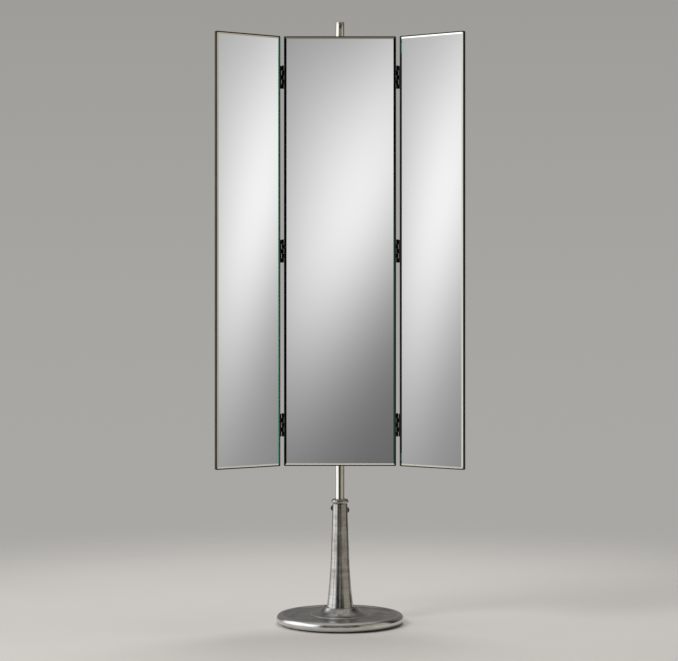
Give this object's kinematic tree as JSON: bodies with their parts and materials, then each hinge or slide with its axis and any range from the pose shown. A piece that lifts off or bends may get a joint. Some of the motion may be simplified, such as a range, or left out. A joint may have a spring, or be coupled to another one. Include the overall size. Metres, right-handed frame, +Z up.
{
  "type": "three-panel floor mirror",
  "caption": "Tall dressing mirror with two hinged side mirrors on a sliding, turning pole over a cast trumpet column and round base.",
  "frame": {"origin": "centre of the base's underside, on the floor and on the pole's centre line", "axes": "+Z up along the pole; the mirrors face -Y; +X to the right of a person who stands in front of them"},
  "size_m": [0.6822, 0.356, 1.686],
  "materials": {
    "cast_metal": "burnished cast aluminium with turning marks, small casting pits and warm patina",
    "ballast_iron": "raw cast iron",
    "felt": "dark wool felt",
    "bush_brass": "turned brass, dull from use",
    "pole_nickel": "polished nickel plate with fine drawn lines",
    "mirror_glass": "silvered float glass with a narrow bevel and green edge",
    "hardboard": "oil-tempered hardboard",
    "tray_steel": "blackened steel, satin, worn bright along the edges",
    "hinge_black": "black oxide steel, slightly oily",
    "bracket_iron": "blackened cast iron with a fine sand-cast texture",
    "fastener_steel": "darkened steel, turned heads"
  },
  "bodies": {
    "stand": {"base_plate": "cast_metal", "ballast_disc": "ballast_iron", "ballast_screws": "fastener_steel", "floor_pad": "felt", "column": "cast_metal", "column_screws": "fastener_steel", "guide_bush": "bush_brass", "column_collar": "cast_metal"},
    "pole": {"pole_tube": "pole_nickel", "pole_cap": "pole_nickel", "pole_foot": "bush_brass", "pole_foot_pin": "fastener_steel", "lock_collar": "bracket_iron", "lock_screw": "fastener_steel"},
    "centre_panel": {"centre_glass": "mirror_glass", "centre_board": "hardboard", "centre_tray": "tray_steel", "upper_rail": "bracket_iron", "lower_rail": "bracket_iron", "upper_bracket": "bracket_iron", "upper_clamp_cap": "bracket_iron", "lower_bracket": "bracket_iron", "lower_clamp_cap": "bracket_iron", "bracket_screws": "fastener_steel", "clamp_screws": "fastener_steel", "left_top_centre_leaf": "hinge_black", "left_middle_centre_leaf": "hinge_black", "left_bottom_centre_leaf": "hinge_black", "right_top_centre_leaf": "hinge_black", "right_middle_centre_leaf": "hinge_black", "right_bottom_centre_leaf": "hinge_black", "left_top_pin": "hinge_black", "left_middle_pin": "hinge_black", "left_bottom_pin": "hinge_black", "right_top_pin": "hinge_black", "right_middle_pin": "hinge_black", "right_bottom_pin": "hinge_black", "centre_rivets": "hinge_black"},
    "left_wing": {"left_glass": "mirror_glass", "left_board": "hardboard", "left_tray": "tray_steel", "left_top_wing_leaf": "hinge_black", "left_middle_wing_leaf": "hinge_black", "left_bottom_wing_leaf": "hinge_black", "left_rivets": "hinge_black"},
    "right_wing": {"right_glass": "mirror_glass", "right_board": "hardboard", "right_tray": "tray_steel", "right_top_wing_leaf": "hinge_black", "right_middle_wing_leaf": "hinge_black", "right_bottom_wing_leaf": "hinge_black", "right_rivets": "hinge_black"},
    "screw_pad": {"pressure_pad": "bush_brass"},
    "wing_screw": {"wing_screw": "bracket_iron"}
  },
  "joints": [
    {"name": "pole_lift", "type": "slide", "parent": "stand", "child": "pole", "axis": [0, 0, 1], "range_m": [-0.085, 0.1]},
    {"name": "head_swivel", "type": "hinge", "parent": "pole", "child": "centre_panel", "pos_m": [0, 0, 1.0425], "axis": [0, 0, 1], "continuous": true},
    {"name": "left_wing_fold", "type": "hinge", "parent": "centre_panel", "child": "left_wing", "pos_m": [-0.1595, -0.0334, 1.0425], "axis": [0, 0, 1], "range_deg": [-126, 74]},
    {"name": "right_wing_fold", "type": "hinge", "parent": "centre_panel", "child": "right_wing", "pos_m": [0.1595, -0.0334, 1.0425], "axis": [0, 0, -1], "range_deg": [-126, 74]},
    {"name": "screw_travel", "type": "slide", "parent": "stand", "child": "screw_pad", "axis": [0, 1, 0], "range_m": [0, 0.0025]},
    {"name": "wing_screw_turn", "type": "hinge", "parent": "screw_pad", "child": "wing_screw", "pos_m": [0, 0.04, 0.3165], "axis": [0, 1, 0], "range_deg": [0, 720.5]}
  ],
  "couplings": [
    {"joint": "wing_screw_turn", "follows": "screw_travel", "rad_per_m": 5026.5}
  ]
}
